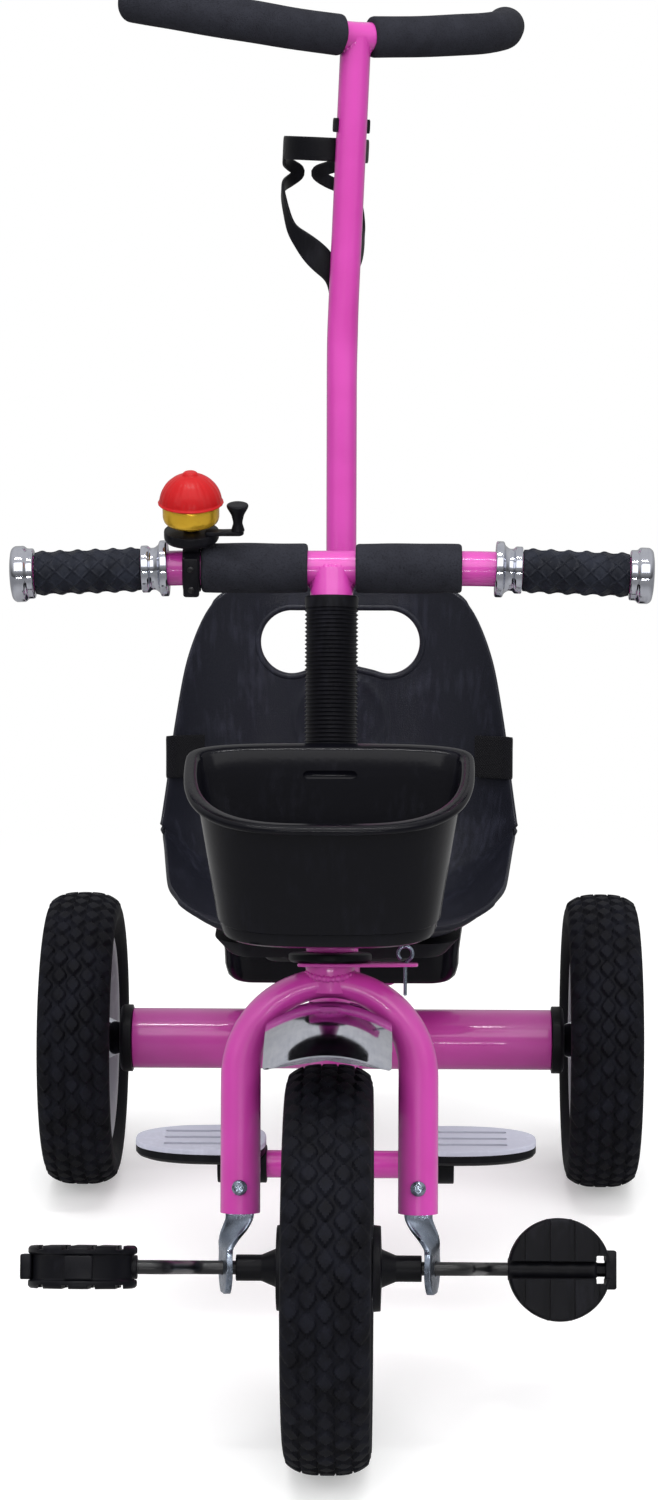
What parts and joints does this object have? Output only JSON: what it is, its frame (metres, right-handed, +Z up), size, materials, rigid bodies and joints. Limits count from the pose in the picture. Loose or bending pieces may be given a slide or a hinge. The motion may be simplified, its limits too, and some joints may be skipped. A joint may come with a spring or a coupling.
{
  "type": "child tricycle",
  "caption": "Child's pedal tricycle with front-wheel cranks, bucket seat, front basket, rear box, bell and a turning push handle with a bottle cage.",
  "frame": {"origin": "on the ground at the middle of the tricycle's outline, front to back and side to side", "axes": "+X to the right as seen from the front, +Y back towards the rear wheels, +Z up; the tricycle faces -Y"},
  "size_m": [0.447, 0.7728, 0.9007],
  "materials": {
    "pink_paint": "gloss",
    "black_plastic": "semi-gloss",
    "black_paint": "satin",
    "black_foam": "matte",
    "black_rubber": "matte",
    "tyre_rubber": "matte",
    "chrome": "polished",
    "zinc": "satin",
    "brass_finish": "brushed",
    "red_plastic": "semi-gloss",
    "grey_plastic": "satin",
    "webbing": "matte"
  },
  "bodies": {
    "frame": {"head_tube": "pink_paint", "spine_tube": "pink_paint", "rear_axle_tube": "pink_paint", "handle_socket": "pink_paint", "footrest_bar": "pink_paint", "seat_post": "pink_paint", "seat_base": "black_plastic", "seat_shell": "black_plastic", "seat_belt": "webbing", "rear_box": "black_plastic", "box_shelf": "pink_paint", "footrest_base_left": "black_plastic", "footrest_base_right": "black_plastic", "footrest_pad_left": "grey_plastic", "footrest_pad_right": "grey_plastic", "axle_bush_left": "black_plastic", "axle_bush_right": "black_plastic", "rear_axle_rod": "zinc"},
    "handle": {"push_handle": "pink_paint", "handle_foam_left": "black_foam", "handle_foam_right": "black_foam", "bottle_cage": "black_plastic", "cage_bolt": "chrome"},
    "steering": {"fork": "pink_paint", "fender": "chrome", "dropout_left": "zinc", "dropout_right": "zinc", "fork_screw_left": "zinc", "fork_screw_right": "zinc", "handlebar": "pink_paint", "stem_sleeve": "black_plastic", "bar_foam_left": "black_foam", "bar_foam_right": "black_foam", "grip_collar_left": "chrome", "grip_collar_right": "chrome", "grip_left": "black_rubber", "grip_right": "black_rubber", "bar_cap_left": "chrome", "bar_cap_right": "chrome", "bell_clamp": "black_plastic", "bell_cup": "brass_finish", "bell_cap": "red_plastic", "front_basket": "black_plastic", "basket_bracket": "black_plastic", "head_cover_lower": "black_plastic", "head_cover_upper": "black_plastic"},
    "bell_lever": {"bell_lever": "black_plastic"},
    "lock_pin": {"lock_pin": "chrome"},
    "front_wheel": {"front_tyre": "tyre_rubber", "front_rim": "grey_plastic", "front_hub": "black_plastic", "crank_rod": "black_paint"},
    "pedal_left": {"pedal_left": "black_plastic"},
    "pedal_right": {"pedal_right": "black_plastic"},
    "rear_wheel_left": {"rear_tyre_left": "tyre_rubber", "rear_rim_left": "grey_plastic", "rear_hub_left": "chrome"},
    "rear_wheel_right": {"rear_tyre_right": "tyre_rubber", "rear_rim_right": "grey_plastic", "rear_hub_right": "chrome"}
  },
  "joints": [
    {"name": "steering_turn", "type": "hinge", "parent": "frame", "child": "steering", "pos_m": [0, -0.25983, 0.127], "axis": [0, 0.2588, 0.9659], "range_deg": [-30, 30]},
    {"name": "front_wheel_spin", "type": "hinge", "parent": "steering", "child": "front_wheel", "pos_m": [0, -0.25983, 0.127], "axis": [1, 0, 0], "continuous": true},
    {"name": "pedal_left_spin", "type": "hinge", "parent": "front_wheel", "child": "pedal_left", "pos_m": [-0.149, -0.33215, 0.15622], "axis": [1, 0, 0], "continuous": true},
    {"name": "pedal_right_spin", "type": "hinge", "parent": "front_wheel", "child": "pedal_right", "pos_m": [0.149, -0.18751, 0.09778], "axis": [1, 0, 0], "continuous": true},
    {"name": "rear_wheel_left_spin", "type": "hinge", "parent": "frame", "child": "rear_wheel_left", "pos_m": [-0.1965, 0.24017, 0.111], "axis": [1, 0, 0], "continuous": true},
    {"name": "rear_wheel_right_spin", "type": "hinge", "parent": "frame", "child": "rear_wheel_right", "pos_m": [0.1965, 0.24017, 0.111], "axis": [1, 0, 0], "continuous": true},
    {"name": "bell_lever_turn", "type": "hinge", "parent": "steering", "child": "bell_lever", "pos_m": [-0.0756, -0.15497, 0.54812], "axis": [0, -0.1736, 0.9848], "range_deg": [-25, 0], "stiffness_Nm_per_rad": 0.004},
    {"name": "push_handle_turn", "type": "hinge", "parent": "frame", "child": "handle", "pos_m": [0, 0.15505, 0.154], "axis": [0, 0.1736, 0.9848], "range_deg": [-56, 4]},
    {"name": "lock_pin_lift", "type": "slide", "parent": "steering", "child": "lock_pin", "axis": [0, 0.2588, 0.9659], "range_m": [0, 0.012]}
  ]
}
